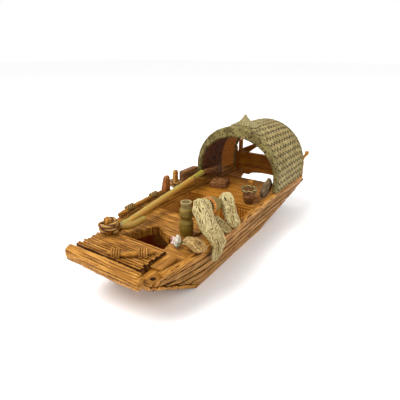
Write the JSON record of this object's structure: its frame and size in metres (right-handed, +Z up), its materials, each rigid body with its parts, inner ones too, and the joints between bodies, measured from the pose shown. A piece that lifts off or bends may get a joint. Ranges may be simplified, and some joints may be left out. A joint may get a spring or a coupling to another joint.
{
  "type": "incense burner",
  "caption": "Incense burner shaped as a covered fishing sampan, with a stick hole in the bow corner, an open hatch and hollow hull for ash, and an arched woven canopy.",
  "frame": {"origin": "on the flat face of the bottom board, on the centreline and half way along the hull", "axes": "+Y toward the stern, +X to port, +Z up"},
  "size_m": [0.1036, 0.2666, 0.1087],
  "materials": {
    "wood": "cast resin painted as ochre timber with a dark wash in the grooves, low sheen",
    "dark_wood": "cast resin painted reddish brown",
    "dark_brown": "cast resin painted dark brown and dry brushed",
    "rope": "cast resin painted as tan rope",
    "bamboo": "cast resin painted olive green and ochre",
    "straw": "cast resin painted khaki with dark gaps in the weave",
    "net": "cast resin painted cream with a brown wash"
  },
  "bodies": {
    "root": {"hull_shell": "wood", "bottom_board": "wood", "bow_ramp_planks": "wood", "port_strake_1": "wood", "port_strake_2": "wood", "port_strake_3": "wood", "port_strake_4": "wood", "starboard_strake_1": "wood", "starboard_strake_2": "wood", "starboard_strake_3": "wood", "starboard_strake_4": "wood", "port_side_deck": "wood", "starboard_side_deck": "wood", "port_rail": "wood", "starboard_rail": "wood", "bow_log": "wood", "foredeck": "wood", "deck_yoke": "wood", "deck_plank": "wood", "deck_block": "wood", "mid_deck": "wood", "cabin_bulkhead": "wood", "cabin_deck": "wood", "stern_wing_port": "wood", "stern_wing_starboard": "wood", "transom_board": "wood", "stern_post": "wood", "stern_brace": "wood", "bollard": "wood", "mooring_post": "wood", "rope_post": "wood", "wedge_block": "dark_wood", "basket_stand": "dark_wood", "tackle_chest": "dark_brown", "broom_bundle": "dark_brown", "stool": "dark_brown", "round_pot": "dark_brown", "paddle_bundle": "dark_brown", "yoke_lashing_port": "rope", "yoke_lashing_starboard": "rope", "bollard_rope": "rope", "spar_lashing_fore": "rope", "spar_lashing_aft": "rope", "mooring_rope": "rope", "pot_rope": "rope", "canopy_front_rim": "bamboo", "canopy_rear_rim": "bamboo", "bamboo_pole": "bamboo", "spar": "bamboo", "creel": "bamboo", "lying_basket": "bamboo", "bamboo_cup": "bamboo", "straw_mat": "straw", "canopy_shell": "straw", "straw_hat": "straw", "straw_bundle": "straw", "net_fore": "net", "net_middle": "net", "net_aft": "net", "shell_cluster": "net"}
  },
  "joints": []
}
